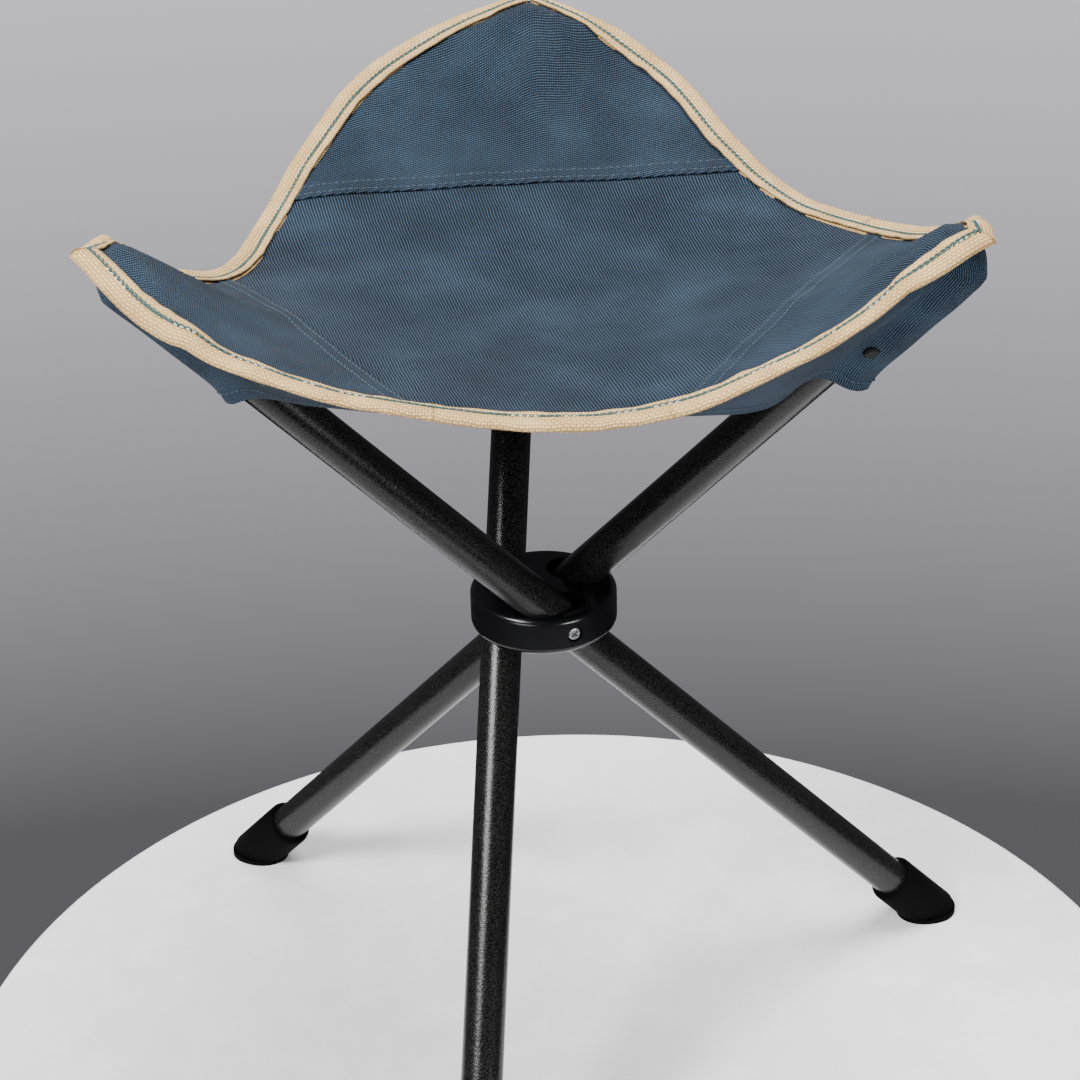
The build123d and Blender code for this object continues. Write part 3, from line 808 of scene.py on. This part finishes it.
def seam_dashes(marks, gone, seam_line, run, out, up, seed):
    """Chain stitch: a pair of green threads at each mark, and a white loop where the tension is loose."""
    dashes = []
    for step, mark in marks:
        spot, ahead, side, top = (np.array([np.interp(mark, gone, rows_of[:, k]) for k in range(3)])
                                  for rows_of in (seam_line, run, out, up))
        lean = LOOP_LEAN if step % 2 else -LOOP_LEAN
        for offset, turn in ((-GREEN_SIDE, GREEN_TURN), (GREEN_SIDE, -GREEN_TURN)):
            twist = ahead * cos(turn) + side * sin(turn)
            dashes.append((spot + side * offset + top * THREAD_RISE, twist, top, GREEN_LENGTH, GREEN_WIDE, 0))
        if noise.noise(Vector((mark / LOOP_PITCH, seed, 4.0))) > LOOSE_FROM:
            twist = ahead * cos(lean) + side * sin(lean)
            dashes.append((spot + side * LOOP_SIDE + top * LOOP_RISE, twist, top, LOOP_LENGTH, LOOP_WIDE, 1))
    return dashes


for name, edge in EDGES.items():
    at = np.linspace(-1, 1, int(2 * TIP_R * sin(radians(60)) / TAPE_STEP) + 2)
    line, run, out, up = tape_frames(name, at)
    gone = np.concatenate([[0], np.cumsum(np.linalg.norm(np.diff(line, axis=0), axis=1))])
    rows, places, seam_line = tape_rows(name, at, line, out, up, gone)
    marks = list(enumerate(np.arange(0.5, gone[-1] - 0.5, STITCH)))
    first, last = edge["ends"]
    split_first = int(np.argmin(abs(line @ unit(CORNERS[first]) - HEMS[first]) + FAR_OFF * (at > 0)))
    split_last = int(np.argmin(abs(line @ unit(CORNERS[last]) - HEMS[last]) + FAR_OFF * (at < 0)))
    for part, low, high, corner in (("start", 0, split_first, first),
                                    ("middle", split_first, split_last, None),
                                    ("end", split_last, len(at) - 1, last)):
        count = rows.shape[1]
        faces = grid_faces(high - low + 1, count, closed=True, flip=True)
        faces += [list(range(count)), [(high - low) * count + k for k in reversed(range(count))]]
        tape = add_mesh(f"binding_tape_{name}_{part}", rows[low:high + 1].reshape(-1, 3), faces, [TAPE],
                        places[low:high + 1].reshape(-1, 2))
        for cap in tape.data.polygons[-2:]:
            cap.use_smooth = False
        held = [(step, mark) for step, mark in marks if gone[low] <= mark < gone[high]]
        dashes = seam_dashes(held, gone, seam_line, run, out, up, list(EDGES).index(name) * NOISE_APART)
        seam = thread_mesh(f"tape_seam_{name}_{part}", dashes, [GREEN, WHITE])
        for piece in (tape, seam):
            if corner:
                bend_at_corner(piece)
            else:
                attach(piece, edge["body"])
        if not corner:
            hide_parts(f"binding_{name}")


# Floor, light and camera


FLOOR_R = 300.0
FLOOR_SHIFT = (5.0, -51.0)
FLOOR_T = 12.0
FLOOR_SIDES = 192
bpy.ops.mesh.primitive_cylinder_add(vertices=FLOOR_SIDES, radius=FLOOR_R * MM, depth=FLOOR_T * MM)
floor = bpy.context.object
floor.name = "floor"
floor.location = ((HUB_AXIS[0] + FLOOR_SHIFT[0]) * MM, (HUB_AXIS[1] + FLOOR_SHIFT[1]) * MM, -FLOOR_T / 2 * MM)
rounding = floor.modifiers.new("rounded rim", "BEVEL")
rounding.width, rounding.segments, rounding.limit_method = 0.004, 4, "ANGLE"
floor.data.materials.append(solid_material("pale floor", (0.82, 0.82, 0.82), (0.9, 0.9, 0.89),
                                           grain=40.0, depth=0.00002, rough=(0.4, 0.5)))

world = bpy.data.worlds.new("soft studio")
bpy.context.scene.world = world
world.use_nodes = True
sky = world.node_tree
sky.nodes.clear()
WORLD_GLOW = 0.6
MIRROR_GLOW = 0.12
BACKDROP_FROM, BACKDROP_TO = -0.56, -0.30  # steepness of the view at the wall's foot, darkened with painted shade, and at its full grey
BACKDROP_SHADED_FOOT, BACKDROP_LIGHT = (0.115, 0.112, 0.125, 1), (0.76, 0.745, 0.81, 1)
level = add_node(sky, "SeparateXYZ", {0: add_node(sky, "TexCoord", out=0)}).node.outputs[2]
height_share = add_node(sky, "MapRange", {0: level, 1: BACKDROP_FROM, 2: BACKDROP_TO, 3: 0.0, 4: 1.0})
grey = blend_colour(sky, height_share, BACKDROP_SHADED_FOOT, BACKDROP_LIGHT)
seen = add_node(sky, "LightPath", out=0)
glow = calc(sky, "MAXIMUM", seen, spread(sky, seen.node.outputs[3], WORLD_GLOW, MIRROR_GLOW))
add_node(sky, "OutputWorld", {0: add_node(sky, "Background", {0: grey, 1: glow})})


def soft_light(name, place, target, size, power):
    lamp = bpy.data.lights.new(name, "AREA")
    lamp.shape, lamp.size, lamp.size_y, lamp.energy = "RECTANGLE", size[0], size[1], power
    holder = bpy.data.objects.new(name, lamp)
    holder.location = place
    holder.rotation_euler = (Vector(target) - Vector(place)).to_track_quat("-Z", "Y").to_euler()
    bpy.context.scene.collection.objects.link(holder)


STOOL_MIDDLE, UNDER_SEAT = (0, 0, 0.3), (0, 0, 0.36)
soft_light("key light", (-1.1, -0.9, 1.7), STOOL_MIDDLE, (0.7, 0.6), 76.0)
soft_light("top light", (0.4, 0.3, 2.1), STOOL_MIDDLE, (1.2, 1.0), 66.0)
soft_light("side light", (1.2, -1.5, 0.3), UNDER_SEAT, (0.7, 0.5), 24.0)
soft_light("low fill", (-1.0, -1.6, 0.25), UNDER_SEAT, (0.9, 0.5), 14.0)

LENS = 94.316
SENSOR = 36.0
SHIFT_X, SHIFT_Y = -0.00189, 0.00327
CAMERA_FROM_AXIS = (0.0, -1141.93, 900.55)
CAMERA_RIGHT = Vector((0.99969, -0.01204, -0.02183))
CAMERA_UP = Vector((0.02493, 0.48616, 0.87351))
camera_data = bpy.data.cameras.new("camera")
camera_data.lens = LENS
camera_data.sensor_width = SENSOR
camera_data.shift_x = SHIFT_X
camera_data.shift_y = SHIFT_Y
camera = bpy.data.objects.new("camera", camera_data)
back = CAMERA_RIGHT.cross(CAMERA_UP).normalized()
turned = Matrix((CAMERA_RIGHT, back.cross(CAMERA_RIGHT), back)).transposed().to_4x4()
camera.matrix_world = Matrix.Translation(Vector((HUB_AXIS + CAMERA_FROM_AXIS) * MM)) @ turned
bpy.context.scene.collection.objects.link(camera)
bpy.context.scene.camera = camera
